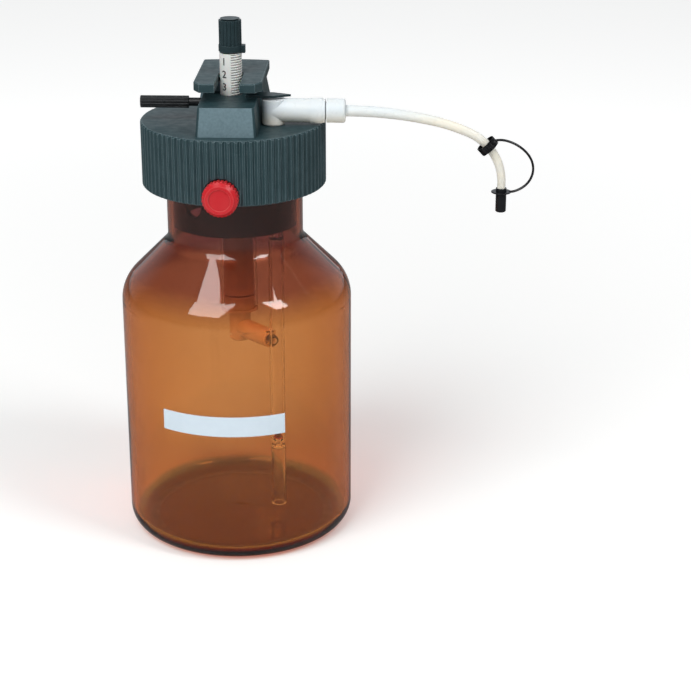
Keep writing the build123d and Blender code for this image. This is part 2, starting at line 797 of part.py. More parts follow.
# The nozzle's hub turns on the valve tube's top end and leads the liquid sideways.
nozzle_axis = Plane((valve_x, valve_y, nozzle_z), z_dir=(1, 0, 0))
with BuildPart() as nozzle:
    round_bar(horizontal_plane(valve_x, valve_y, hub_bottom_z), hub_r, hub_height - hub_lift)
    round_bar(nozzle_axis, nozzle_r, nozzle_length)
    round_bar(nozzle_axis.offset(nozzle_length - band_length), band_r, band_length - band_setback)
    round_bar(nozzle_axis.offset(nozzle_length), nozzle_stub_r, nozzle_stub_length)
    round_bar(horizontal_plane(valve_x, valve_y, hub_bottom_z), hub_spigot_r,
              -hub_spigot_length)
    tube_seat_z = hub_bottom_z - hub_spigot_length
    round_bar(horizontal_plane(valve_x, valve_y, tube_seat_z), tube_r + running_gap,
              tube_top_z + slip_gap - tube_seat_z, Mode.SUBTRACT)
    round_bar(horizontal_plane(valve_x, valve_y, nozzle_z - flow_r), flow_r, flow_r, Mode.SUBTRACT)
    round_bar(nozzle_axis, flow_r, nozzle_length + nozzle_stub_length, Mode.SUBTRACT)
nozzle.part.label = "nozzle"
export_step(nozzle.part, "parts/nozzle.step")

# The nut clamps the jet against the nozzle's stub.
nut_start_x = nozzle_end_x + nut_groove
stub_end_x = nozzle_end_x + nozzle_stub_length
with BuildPart() as nozzle_nut:
    round_bar(nozzle_axis.offset(nut_start_x - valve_x), nozzle_r, nut_length)
    chamfer(nozzle_nut.edges().group_by(Axis.X)[-1], knob_chamfer)
    round_bar(nozzle_axis.offset(nut_start_x - valve_x), nozzle_stub_r + running_gap,
              stub_end_x - nut_start_x, Mode.SUBTRACT)
    round_bar(nozzle_axis.offset(nut_start_x - valve_x), jet_root_r + running_gap,
              nut_length, Mode.SUBTRACT)
nozzle_nut.part.label = "nozzle_nut"
export_step(nozzle_nut.part, "parts/nozzle_nut.step")

# The jet is a stiff tube, bent in three arcs that end straight down, and it tapers
# from its root to its tip.
nut_end_x = nut_start_x + nut_length
jet_third_angle = down_angle - jet_first_angle - jet_second_angle
jet_plane = Plane((0, valve_y, 0), x_dir=(1, 0, 0), z_dir=(0, -1, 0))
with BuildPart() as delivery_jet:
    with BuildLine(jet_plane) as jet_path:
        root = Line((stub_end_x, nozzle_z), (nut_end_x, nozzle_z))
        first = JernArc(root @ 1, root % 1, jet_first_round, -jet_first_angle)
        second = JernArc(first @ 1, first % 1, jet_second_round, -jet_second_angle)
        third = JernArc(second @ 1, second % 1, jet_third_round, -jet_third_angle)
    path = jet_path.wires()[0]
    with BuildSketch(Plane(path @ 0, z_dir=path % 0)):
        Circle(jet_root_r)
    with BuildSketch(Plane(path @ 1, z_dir=path % 1)):
        Circle(jet_tip_r)
    sweep(path=path, multisection=True)
    with BuildSketch(Plane(path @ 1, z_dir=path % 1)):
        Circle(jet_tip_r)
    extrude(amount=jet_tip_length)
    with BuildSketch(Plane(path @ 0, z_dir=path % 0)):
        Circle(jet_bore_r)
    sweep(path=path, mode=Mode.SUBTRACT)
    with BuildSketch(Plane(path @ 1, z_dir=path % 1)):
        Circle(jet_bore_r)
    extrude(amount=jet_tip_length, mode=Mode.SUBTRACT)
delivery_jet.part.label = "delivery_jet"
export_step(delivery_jet.part, "parts/delivery_jet.step")
jet_tip = (path @ 1) + (path % 1) * jet_tip_length

# The tip cap is a blind sleeve over the jet's end.
cap_floor_z = jet_tip.Z - slip_gap - tip_cap_floor
with BuildPart() as tip_cap:
    round_bar(horizontal_plane(jet_tip.X, jet_tip.Y, cap_floor_z), tip_cap_r, tip_cap_length)
    chamfer(tip_cap.edges().group_by(Axis.Z)[0], knob_chamfer / 2)
    round_bar(horizontal_plane(jet_tip.X, jet_tip.Y, cap_floor_z + tip_cap_floor),
              jet_tip_r + running_gap, tip_cap_length, Mode.SUBTRACT)
tip_cap.part.label = "tip_cap"
export_step(tip_cap.part, "parts/tip_cap.step")

# The strap is one soft moulding: a ring on the jet, a bowed band, and a ring on the cap.
jet_ring_centre = path @ strap_ring_ratio
jet_ring_axis = path % strap_ring_ratio
jet_r_at_ring = jet_root_r + (jet_tip_r - jet_root_r) * strap_ring_ratio
jet_ring_bore_r = jet_r_at_ring + slip_gap
cap_ring_z = cap_floor_z + tip_cap_length - 2 * strap_ring_height
band_start = jet_ring_centre + Vector(-jet_ring_axis.Z, 0, jet_ring_axis.X) * (
    jet_ring_bore_r + strap_ring_wall / 2)
band_end = Vector(jet_tip.X + tip_cap_r + strap_ring_wall / 2, valve_y,
                  cap_ring_z + strap_ring_height / 2)
band_middle = Vector(jet_tip.X + strap_reach, valve_y, (band_start.Z + band_end.Z) / 2)
with BuildPart() as cap_strap:
    with BuildSketch(Plane(jet_ring_centre - jet_ring_axis * (strap_ring_height / 2),
                           z_dir=jet_ring_axis)):
        Circle(jet_ring_bore_r + strap_ring_wall)
        Circle(jet_ring_bore_r, mode=Mode.SUBTRACT)
    extrude(amount=strap_ring_height)
    with BuildSketch(horizontal_plane(jet_tip.X, jet_tip.Y, cap_ring_z)):
        Circle(tip_cap_r + running_gap + strap_ring_wall)
        Circle(tip_cap_r + running_gap, mode=Mode.SUBTRACT)
    extrude(amount=strap_ring_height)
    with BuildLine():
        band = ThreePointArc(band_start, band_middle, band_end)
    with BuildSketch(Plane(band @ 0, x_dir=(0, 1, 0), z_dir=band % 0)):
        Rectangle(strap_width, strap_thickness)
    sweep(path=band)
cap_strap.part.label = "cap_strap"
export_step(cap_strap.part, "parts/cap_strap.step")
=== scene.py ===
"""Looks of the bottle-top dispenser: finishes, printed and cut details, and the studio."""

import logging
import math
from dataclasses import dataclass, field
from enum import Enum

import bpy
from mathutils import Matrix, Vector


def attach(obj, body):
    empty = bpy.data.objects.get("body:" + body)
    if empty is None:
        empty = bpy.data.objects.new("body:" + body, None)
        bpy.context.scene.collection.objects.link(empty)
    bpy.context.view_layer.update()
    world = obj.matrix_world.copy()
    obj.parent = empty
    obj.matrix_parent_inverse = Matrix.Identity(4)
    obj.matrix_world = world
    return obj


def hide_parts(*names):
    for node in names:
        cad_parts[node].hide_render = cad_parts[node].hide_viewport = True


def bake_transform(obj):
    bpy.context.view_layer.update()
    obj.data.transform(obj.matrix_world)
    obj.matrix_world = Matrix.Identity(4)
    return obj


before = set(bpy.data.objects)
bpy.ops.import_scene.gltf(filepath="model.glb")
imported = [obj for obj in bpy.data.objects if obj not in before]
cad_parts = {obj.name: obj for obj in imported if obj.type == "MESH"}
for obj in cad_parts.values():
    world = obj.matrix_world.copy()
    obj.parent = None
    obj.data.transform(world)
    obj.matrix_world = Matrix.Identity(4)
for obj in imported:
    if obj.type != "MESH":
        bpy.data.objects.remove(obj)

log = logging.getLogger("dispenser")

Colour = tuple[float, float, float]
Point = tuple[float, float, float]
Socket = bpy.types.NodeSocket
Node = bpy.types.Node
Material = bpy.types.Material


# Building blocks for materials and meshes


class Grain(Enum):
    """How a moulded surface was finished by its mould, as a share of the deepest grain."""

    POLISHED = 0.0
    SATIN = 0.5
    SPARKED = 1.0


@dataclass(frozen=True)
class Pattern:
    """Noise whose features have a real size, cut off at a low and a high level."""

    size: float
    detail: float
    low: float
    high: float
    stretch: Point = (1, 1, 1)


@dataclass(frozen=True)
class Band:
    """A change of tone that starts at one height and is full at another."""

    start: float
    full: float
    tone: Colour


class Graph:
    """The node tree of a material or a world, filled one node at a time."""

    def __init__(self, tree: bpy.types.NodeTree) -> None:
        """Empty the tree.

        Args:
            tree: The tree to fill.
        """
        self.tree = tree
        self.tree.nodes.clear()

    def add(self, kind: str, **values: object) -> Node:
        """Add a node and set its inputs by name.

        Args:
            kind: The node's type, such as "ShaderNodeTexNoise".
            values: Input values or sockets to link, with underscores for spaces.

        Returns:
            The new node.
        """
        node = self.tree.nodes.new(kind)
        for key, value in values.items():
            socket = node.inputs[key.replace("_", " ")]
            if isinstance(value, Socket):
                self.tree.links.new(value, socket)
            else:
                socket.default_value = value
        return node

    def join(self, source: Socket, target: Socket) -> None:
        """Link one socket to another."""
        self.tree.links.new(source, target)

    def combine(self, operation: str, first: Socket, second: Socket | float, clamp: bool = False) -> Socket:
        """Work out one number from two.

        Args:
            operation: The Math node's operation, such as "MULTIPLY".
            first: The first number.
            second: The second number, as a socket or a value.
            clamp: Keep the result between 0 and 1.

        Returns:
            The result's socket.
        """
        node = self.tree.nodes.new("ShaderNodeMath")
        node.operation = operation
        node.use_clamp = clamp
        self.join(first, node.inputs[0])
        if isinstance(second, Socket):
            self.join(second, node.inputs[1])
        else:
            node.inputs[1].default_value = second
        return node.outputs[0]

    def ramp(self, value: Socket, low: float, high: float, least: float, most: float) -> Socket:
        """Map one range of numbers to another, clamped at both ends.

        Args:
            value: The number to map.
            low: Where the first range starts.
            high: Where it ends.
            least: The result at the start.
            most: The result at the end.

        Returns:
            The result's socket.
        """
        node = self.add("ShaderNodeMapRange", Value=value)
        for index, number in enumerate((low, high, least, most), start=1):
            node.inputs[index].default_value = number
        return node.outputs[0]

    def either(self, share: Socket, first: Node, second: Node) -> Node:
        """Mix two shaders.

        Args:
            share: Share of the second shader.
            first: Shader at share 0.
            second: Shader at share 1.

        Returns:
            The mixed shader.
        """
        node = self.add("ShaderNodeMixShader", Fac=share)
        self.join(first.outputs[0], node.inputs[1])
        self.join(second.outputs[0], node.inputs[2])
        return node

    def mirrored(self, light: Node) -> Socket:
        """Tell rays that a glossy surface reflected from those that came through glass.

        Args:
            light: A Light Path node of this tree.

        Returns:
            A socket that is 1 for reflected rays.
        """
        return self.combine(
            "SUBTRACT", light.outputs["Is Glossy Ray"], light.outputs["Is Transmission Ray"], clamp=True
        )


class Sheet(Graph):
    """A material's node tree, with the patterns that the finishes share."""

    edge_samples = 4

    def __init__(self, name: str) -> None:
        """Start an empty material.

        Args:
            name: The material's name.
        """
        self.material = bpy.data.materials.new(name)
        self.material.use_nodes = True
        super().__init__(self.material.node_tree)
        self.output = self.add("ShaderNodeOutputMaterial")

    def place(self) -> Socket:
        """Coordinates in metres, fixed to the piece."""
        return self.add("ShaderNodeTexCoord").outputs["Object"]

    def height(self) -> Socket:
        """Height above the bench in metres."""
        return self.add("ShaderNodeSeparateXYZ", Vector=self.place()).outputs["Z"]

    def noise(self, size: float, detail: float = 2.0, stretch: Point = (1, 1, 1)) -> Socket:
        """Noise whose features have a real size.

        Args:
            size: Size of a feature in metres.
            detail: Octaves of finer noise.
            stretch: Factors on the coordinates, below 1 to lengthen the features.

        Returns:
            The noise's value socket, from 0 to 1.
        """
        mapping = self.add("ShaderNodeMapping", Vector=self.place(), Scale=stretch)
        texture = self.add("ShaderNodeTexNoise", Vector=mapping.outputs[0], Scale=1 / size, Detail=detail)
        return texture.outputs[0]

    def spread(self, pattern: Pattern, least: float, most: float) -> Socket:
        """Spread a pattern over a range of numbers.

        Args:
            pattern: The noise and its two levels.
            least: The number at the low level.
            most: The number at the high level.

        Returns:
            The number's socket.
        """
        noise = self.noise(pattern.size, pattern.detail, pattern.stretch)
        return self.ramp(noise, pattern.low, pattern.high, least, most)

    def blend(self, share: Socket, first: Socket | Colour, second: Socket | Colour) -> Socket:
        """Mix two colours by a share.

        Args:
            share: Socket with the share of the second colour.
            first: Colour or colour socket at share 0.
            second: Colour or colour socket at share 1.

        Returns:
            The mixed colour's socket.
        """
        node = self.tree.nodes.new("ShaderNodeMix")
        node.data_type = "RGBA"
        self.join(share, node.inputs[0])
        for index, colour in ((6, first), (7, second)):
            if isinstance(colour, Socket):
                self.join(colour, node.inputs[index])
            else:
                node.inputs[index].default_value = (*colour, 1.0)
        return node.outputs[2]

    def bump(self, height: Socket, depth: float, normal: Socket | None = None) -> Socket:
        """Turn a height into a normal.

        Args:
            height: Height socket from 0 to 1.
            depth: Height of 1, in metres.
            normal: Normal to start from, if any.

        Returns:
            The normal's socket.
        """
        node = self.add("ShaderNodeBump", Height=height, Distance=depth, Strength=1.0)
        if normal is not None:
            self.join(normal, node.inputs["Normal"])
        return node.outputs[0]

    def rounded(self, radius: float) -> Socket:
        """Normal that rounds every edge.

        Args:
            radius: Radius of the rounding in metres.

        Returns:
            The normal's socket.
        """
        node = self.add("ShaderNodeBevel", Radius=radius)
        node.samples = self.edge_samples
        return node.outputs[0]

    def worn_edges(self, radius: float, flat: float = 0.995, glint: float = 0.90) -> Socket:
        """Mask for painted edge highlights: 1 along edges and 0 on flat ground.

        Args:
            radius: Width of the highlit line in metres.
            flat: Cosine between the true and the rounded normal where the painted highlight starts.
            glint: Cosine where it is full.

        Returns:
            The mask's socket.
        """
        alike = self.tree.nodes.new("ShaderNodeVectorMath")
        alike.operation = "DOT_PRODUCT"
        self.join(self.rounded(radius), alike.inputs[0])
        self.join(self.add("ShaderNodeNewGeometry").outputs["Normal"], alike.inputs[1])
        return self.ramp(alike.outputs["Value"], flat, glint, 0.0, 1.0)

    def finish(self, shader: Node) -> Material:
        """Send a shader to the output and return the material."""
        self.join(shader.outputs[0], self.output.inputs["Surface"])
        return self.material


@dataclass(frozen=True)
class MouldedPlastic:
    """Opaque moulded plastic with a spark-eroded grain and a painted highlight along its edges."""

    name: str
    colour: Colour
    bright: Colour
    grain: Grain = Grain.SATIN
    roughness: float = 0.42
    edge_radius: float = 0.0003
    edge_share: float = 0.35
    mottle: float = 0.05
    specular: float = 0.28
    frosted: Colour | None = None
    clouds: Pattern = Pattern(0.006, 5.0, 0.35, 0.65)
    handling: Pattern = Pattern(0.0035, 3.0, 0.3, 0.7)
    smoothest: float = -0.05
    roughest: float = 0.08
    grain_size: float = 0.00028
    grain_depth: float = 0.00002
    etching: Pattern = Pattern(0.0012, 4.0, 0.3, 0.7)
    thinnest_etch: float = 0.72
    front_start: float = -0.93
    front_full: float = -0.965

    def frosted_front(self, s: Sheet, colour: Socket) -> Socket:
        """Paint a sheen on the matt front panel, which looks along -Y.

        Args:
            s: The sheet to add to.
            colour: The plastic's own colour.

        Returns:
            The colour's socket.
        """
        facing = s.add("ShaderNodeSeparateXYZ", Vector=s.add("ShaderNodeNewGeometry").outputs["True Normal"])
        front = s.ramp(facing.outputs["Y"], self.front_start, self.front_full, 0.0, 1.0)
        # Painted sheen: faces that look along -Y are lightened towards the sheen colour, varied by a noise.
        sheen_spread = s.spread(self.etching, self.thinnest_etch, 1.0)
        return s.blend(s.combine("MULTIPLY", front, sheen_spread), colour, self.frosted)

    def material(self) -> Material:
        """Build the finish.

        Returns:
            The material.
        """
        s = Sheet(self.name)
        ground = s.blend(s.spread(self.clouds, 0.0, self.mottle), self.colour, self.bright)
        # Painted highlight: edges are blended towards the bright colour, standing in for glints of light.
        glint = s.combine("MULTIPLY", s.worn_edges(self.edge_radius), self.edge_share)
        colour = s.blend(glint, ground, self.bright)
        if self.frosted:
            colour = self.frosted_front(s, colour)
        rough = s.spread(self.handling, self.roughness + self.smoothest, self.roughness + self.roughest)
        depth = self.grain_depth * self.grain.value
        normal = s.bump(s.noise(self.grain_size), depth, s.rounded(self.edge_radius))
        shader = s.add("ShaderNodeBsdfPrincipled", Base_Color=colour, Roughness=rough, Normal=normal)
        shader.inputs["Specular IOR Level"].default_value = self.specular
        return s.finish(shader)


@dataclass(frozen=True)
class MilkyPlastic:
    """Translucent fluoroplastic that scatters light below its surface, with painted warm shading low down."""

    name: str
    colour: Colour
    warm: Colour
    depth: float = 0.0018
    scatter: float = 0.75
    scatter_colour: Colour = (1.0, 0.95, 0.9)
    index: float = 1.38
    roughness: float = 0.3
    clouds: Pattern = Pattern(0.009, 2.0, 0.3, 0.75, (0.5, 1, 1))
    cloud_share: float = 0.3
    warm_start: float = 0.2060
    warm_full: float = 0.2005
    warm_share: float = 0.7
    handling: Pattern = Pattern(0.002, 2.0, 0.3, 0.7)
    smoothest: float = -0.06
    roughest: float = 0.1
    ripple_size: float = 0.0012
    ripple_depth: float = 0.000004

    def material(self) -> Material:
        """Build the finish.

        Returns:
            The material.
        """
        s = Sheet(self.name)
        cloud = s.spread(self.clouds, 0.0, self.cloud_share)
        # Painted shading: the lower parts are tinted warm cream by height.
        lower = s.ramp(s.height(), self.warm_start, self.warm_full, 0.0, self.warm_share)
        colour = s.blend(s.combine("ADD", cloud, lower), self.colour, self.warm)
        rough = s.spread(self.handling, self.roughness + self.smoothest, self.roughness + self.roughest)
        normal = s.bump(s.noise(self.ripple_size, 1.0), self.ripple_depth)
        shader = s.add("ShaderNodeBsdfPrincipled", Base_Color=colour, Roughness=rough, Normal=normal)
        shader.inputs["Subsurface Weight"].default_value = self.scatter
        shader.inputs["Subsurface Scale"].default_value = self.depth
        shader.inputs["Subsurface Radius"].default_value = self.scatter_colour
        shader.inputs["IOR"].default_value = self.index
        return s.finish(shader)


@dataclass(frozen=True)
class Glass:
    """Solid glass: gloss from the shader, colour from how far light goes through it."""

    name: str
    tint: Colour
    density: float
    shade: Colour
    ripple: float = 0.0
    bands: tuple[Band, ...] = ()
    index: float = 1.5
    uneven: Pattern = Pattern(0.03, 2.0, 0.2, 0.8)
    wander: float = 0.001
    streaks: Pattern = Pattern(0.012, 3.0, 0.3, 0.8, (1, 1, 0.25))
    streak_share: float = 0.5
    plain: Colour = (1.0, 1.0, 1.0)
    streaked: Colour = (0.94, 0.92, 0.93)
    smears: Pattern = Pattern(0.02, 4.0, 0.4, 0.8)
    roughest: float = 0.03
    ripple_size: float = 0.016
    ripple_stretch: Point = (1, 1, 0.4)

    def surface(self, s: Sheet) -> Socket:
        """Colour of the skin, deeper where the glass was drawn thicker.

        Args:
            s: The sheet to add to.

        Returns:
            The colour's socket.
        """
        level = s.combine("ADD", s.height(), s.spread(self.uneven, -self.wander, self.wander))
        colour = s.blend(s.spread(self.streaks, 0.0, self.streak_share), self.plain, self.streaked)
        for band in self.bands:
            colour = s.blend(s.ramp(level, band.start, band.full, 0.0, 1.0), colour, band.tone)
        return colour

    def material(self) -> Material:
        """Build the finish.

        Returns:
            The material, which lets the lamps' light through.
        """
        s = Sheet(self.name)
        rough = s.spread(self.smears, 0.0, self.roughest)
        shader = s.add("ShaderNodeBsdfPrincipled", Base_Color=self.surface(s), Roughness=rough)
        shader.inputs["Transmission Weight"].default_value = 1.0
        shader.inputs["IOR"].default_value = self.index
        if self.ripple:
            waves = s.noise(self.ripple_size, 1.0, self.ripple_stretch)
            s.join(s.bump(waves, self.ripple), shader.inputs["Normal"])
        light = s.add("ShaderNodeLightPath")
        open_glass = s.add("ShaderNodeBsdfTransparent", Color=(*self.shade, 1.0))
        body = s.add("ShaderNodeVolumeAbsorption", Color=(*self.tint, 1.0), Density=self.density)
        s.join(body.outputs[0], s.output.inputs["Volume"])
        return s.finish(s.either(light.outputs["Is Shadow Ray"], shader, open_glass))


@dataclass(frozen=True)
class Rubber:
    """Matt black rubber with a dusty bloom."""

    name: str
    colour: Colour
    bloom: Colour
    dust: Pattern = Pattern(0.004, 4.0, 0.4, 0.75)
    dust_share: float = 0.4
    handling: Pattern = Pattern(0.001, 2.0, 0.3, 0.7)
    smoothest: float = 0.5
    roughest: float = 0.66
    grain_size: float = 0.0003
    grain_depth: float = 0.00001
    edge_radius: float = 0.0002

    def material(self) -> Material:
        """Build the finish.

        Returns:
            The material.
        """
        s = Sheet(self.name)
        colour = s.blend(s.spread(self.dust, 0.0, self.dust_share), self.colour, self.bloom)
        rough = s.spread(self.handling, self.smoothest, self.roughest)
        normal = s.bump(s.noise(self.grain_size), self.grain_depth, s.rounded(self.edge_radius))
        return s.finish(s.add("ShaderNodeBsdfPrincipled", Base_Color=colour, Roughness=rough, Normal=normal))


@dataclass(frozen=True)
class TurnedMetal:
    """Plain steel with fine turning marks."""

    name: str
    colour: Colour
    mark_size: float = 0.0002
    mark_stretch: Point = (1, 1, 6)
    mark_depth: float = 0.00001
    mark_low: float = 0.2
    mark_high: float = 0.8
    smoothest: float = 0.22
    roughest: float = 0.42
    tarnish: Pattern = Pattern(0.002, 3.0, 0.3, 0.7)
    tarnish_share: float = 0.3
    tarnish_tone: float = 0.7

    def material(self) -> Material:
        """Build the finish.

        Returns:
            The material.
        """
        s = Sheet(self.name)
        marks = s.noise(self.mark_size, stretch=self.mark_stretch)
        rough = s.ramp(marks, self.mark_low, self.mark_high, self.smoothest, self.roughest)
        dull = tuple(self.tarnish_tone * c for c in self.colour)
        colour = s.blend(s.spread(self.tarnish, 0.0, self.tarnish_share), self.colour, dull)
        normal = s.bump(marks, self.mark_depth)
        shader = s.add("ShaderNodeBsdfPrincipled", Base_Color=colour, Roughness=rough, Normal=normal)
        shader.inputs["Metallic"].default_value = 1.0
        return s.finish(shader)


@dataclass(frozen=True)
class PrintedInk:
    """Opaque fired-on or pad-printed ink."""

    name: str
    colour: Colour
    thin: Colour
    roughness: float = 0.45
    patches: Pattern = Pattern(0.003, 5.0, 0.35, 0.7)
    patch_share: float = 0.5
    handling: Pattern = Pattern(0.0006, 2.0, 0.3, 0.7)
    smoothest: float = -0.08
    roughest: float = 0.1
    grain_size: float = 0.0004
    grain_depth: float = 0.000006

    def material(self) -> Material:
        """Build the finish.

        Returns:
            The material.
        """
        s = Sheet(self.name)
        colour = s.blend(s.spread(self.patches, 0.0, self.patch_share), self.colour, self.thin)
        rough = s.spread(self.handling, self.roughness + self.smoothest, self.roughness + self.roughest)
        normal = s.bump(s.noise(self.grain_size), self.grain_depth)
        return s.finish(s.add("ShaderNodeBsdfPrincipled", Base_Color=colour, Roughness=rough, Normal=normal))


@dataclass(frozen=True)
class CutThreadPlastic:
    """White plastic that is darker in its cut grooves, by the piece's groove attribute."""

    name: str
    colour: Colour
    grease: Colour
    stains: Pattern = Pattern(0.0022, 3.0, 0.25, 0.75)
    thinnest_stain: float = 0.55
    groove_start: float = 0.25
    groove_full: float = 0.8
    grease_share: float = 0.95
    clouds: Pattern = Pattern(0.004, 4.0, 0.35, 0.7)
    cloud_share: float = 0.3
    cloud_tone: float = 0.86
    handling: Pattern = Pattern(0.001, 2.0, 0.3, 0.7)
    smoothest: float = 0.36
    roughest: float = 0.5
    grain_size: float = 0.0003
    grain_depth: float = 0.000008
    scatter: float = 0.1
    scatter_depth: float = 0.0006

    def material(self) -> Material:
        """Build the finish.

        Returns:
            The material.
        """
        s = Sheet(self.name)
        groove = s.tree.nodes.new("ShaderNodeAttribute")
        groove.attribute_name = "groove"
        depth = s.ramp(groove.outputs["Fac"], self.groove_start, self.groove_full, 0.0, self.grease_share)
        darkened = s.combine("MULTIPLY", depth, s.spread(self.stains, self.thinnest_stain, 1.0))
        cloudy = tuple(self.cloud_tone * c for c in self.colour)
        ground = s.blend(s.spread(self.clouds, 0.0, self.cloud_share), self.colour, cloudy)
        colour = s.blend(darkened, ground, self.grease)
        rough = s.spread(self.handling, self.smoothest, self.roughest)
        normal = s.bump(s.noise(self.grain_size), self.grain_depth)
        shader = s.add("ShaderNodeBsdfPrincipled", Base_Color=colour, Roughness=rough, Normal=normal)
        shader.inputs["Subsurface Weight"].default_value = self.scatter
        shader.inputs["Subsurface Scale"].default_value = self.scatter_depth
        return s.finish(shader)


@dataclass(frozen=True)
class Finishes:
    """Every finish of the dispenser, as materials that the sub-assemblies share."""

    amber: Material
    clear: Material
    ruby: Material
    dark: Material
    block: Material
    dark_gloss: Material
    black: Material
    red: Material
    white: Material
    milky: Material
    thread: Material
    rubber: Material
    strap: Material
    steel: Material
    panel: Material
    numbers: Material

    @classmethod
    def make(cls) -> "Finishes":
        """Build all the materials.

        Returns:
            The set of finishes.
        """
        anthracite = (0.0165, 0.040, 0.046)
        amber_bands = (
            Band(start=0.114, full=0.128, tone=(0.46, 0.32, 0.62)),
            Band(start=0.0085, full=0.0055, tone=(0.40, 0.70, 0.85)),
        )
        recipes = {
            "amber": Glass("amber_glass", (0.85, 0.52, 0.05), 470.0, (0.9, 0.66, 0.36), 0.00012, amber_bands),
            "clear": Glass("clear_glass", (0.93, 0.98, 0.97), 30.0, (0.93, 0.95, 0.95)),
            "ruby": Glass("ruby", (0.95, 0.08, 0.12), 2200.0, (0.85, 0.3, 0.3)),
            # The cap's rim glints are a painted highlight along the edges, set by edge_share.
            "dark": MouldedPlastic(
                "anthracite_plastic", anthracite, (0.24, 0.32, 0.35), Grain.SPARKED,
                edge_radius=0.00035, edge_share=0.6, mottle=0.03,
            ),
            # The block's lighter front panel is a painted sheen.
            "block": MouldedPlastic(
                "anthracite_block", anthracite, (0.15, 0.21, 0.23), Grain.SPARKED,
                frosted=(0.115, 0.175, 0.20),
            ),
            "dark_gloss": MouldedPlastic(
                "anthracite_knob", (0.010, 0.024, 0.028), (0.11, 0.16, 0.18), roughness=0.34
            ),
            "black": MouldedPlastic(
                "black_plastic", (0.006, 0.007, 0.008), (0.07, 0.08, 0.09), roughness=0.32
            ),
            "red": MouldedPlastic(
                "red_plastic", (0.46, 0.010, 0.016), (0.80, 0.16, 0.15), Grain.POLISHED,
                roughness=0.32, edge_share=0.7,
            ),
            "white": MouldedPlastic("white_plastic", (0.74, 0.72, 0.66), (0.86, 0.85, 0.80)),
            "milky": MilkyPlastic("milky_plastic", (0.62, 0.675, 0.71), (0.74, 0.70, 0.60)),
            "thread": CutThreadPlastic("spindle_plastic", (0.66, 0.67, 0.64), (0.035, 0.025, 0.02)),
            "rubber": Rubber("black_rubber", (0.010, 0.010, 0.011), (0.05, 0.052, 0.055)),
            "strap": MouldedPlastic(
                "strap_rubber", (0.006, 0.006, 0.007), (0.05, 0.05, 0.055),
                roughness=0.24, edge_radius=0.0002, edge_share=0.2,
            ),
            "steel": TurnedMetal("steel", (0.58, 0.58, 0.60)),
            "panel": PrintedInk("writing_panel", (0.58, 0.67, 0.74), (0.54, 0.63, 0.70)),
            "numbers": PrintedInk("number_ink", (0.012, 0.012, 0.014), (0.03, 0.03, 0.032)),
        }
        return cls(**{role: finish.material() for role, finish in recipes.items()})


class Bench:
    """Common steps of modelling with operators."""

    @staticmethod
    def clear_selection() -> None:
        """Leave object mode with nothing selected."""
        if bpy.context.object and bpy.context.object.mode != "OBJECT":
            bpy.ops.object.mode_set(mode="OBJECT")
        bpy.ops.object.select_all(action="DESELECT")

    @staticmethod
    def only(piece: bpy.types.Object) -> None:
        """Select one object and make it active.

        Args:
            piece: The object.
        """
        Bench.clear_selection()
        piece.select_set(True)
        bpy.context.view_layer.objects.active = piece

    @staticmethod
    def settle(piece: bpy.types.Object, name: str) -> bpy.types.Object:
        """Name a piece and put its place into its mesh.

        Args:
            piece: The object.
            name: Its name.

        Returns:
            The same object, at the origin.
        """
        Bench.only(piece)
        bpy.ops.object.transform_apply(location=True, rotation=True, scale=True)
        piece.name = piece.data.name = name
        return piece

    @staticmethod
    def apply(piece: bpy.types.Object, modifier: bpy.types.Modifier) -> None:
        """Apply a modifier to its piece."""
        Bench.only(piece)
        bpy.ops.object.modifier_apply(modifier=modifier.name)

    @staticmethod
    def thicken(piece: bpy.types.Object, thickness: float) -> None:
        """Give a sheet of faces a thickness on its outer side.

        Args:
            piece: The sheet.
            thickness: The thickness in metres.
        """
        thick = piece.modifiers.new("thickness", "SOLIDIFY")
        thick.thickness = thickness
        thick.offset = 1.0
        Bench.apply(piece, thick)

    @staticmethod
    def outward(piece: bpy.types.Object, angle: float, weld: float = 0.000001) -> None:
        """Turn all faces outwards and smooth the gentle edges.

        Args:
            piece: A closed mesh.
            angle: Edges sharper than this, in degrees, stay sharp.
            weld: Corners closer than this, in metres, become one.
        """
        Bench.only(piece)
        bpy.ops.object.mode_set(mode="EDIT")
        bpy.ops.mesh.select_all(action="SELECT")
        bpy.ops.mesh.remove_doubles(threshold=weld)
        bpy.ops.mesh.normals_make_consistent(inside=False)
        bpy.ops.object.mode_set(mode="OBJECT")
        bpy.ops.object.shade_smooth_by_angle(angle=math.radians(angle))

    @staticmethod
    def dress(piece: bpy.types.Object, material: Material) -> None:
        """Give a piece one material."""
        piece.data.materials.clear()
        piece.data.materials.append(material)


def repaint(nodes: dict[str, Material]) -> None:
    """Put better materials in the slots of carried-over CAD nodes.

    Args:
        nodes: Material by node name.
    """
    for name, material in nodes.items():
        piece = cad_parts[name]
        if not piece.material_slots:
            piece.data.materials.append(material)
        for slot in piece.material_slots:
            slot.material = material
        log.info("%s wears %s", name, material.name)


# Sub-assemblies


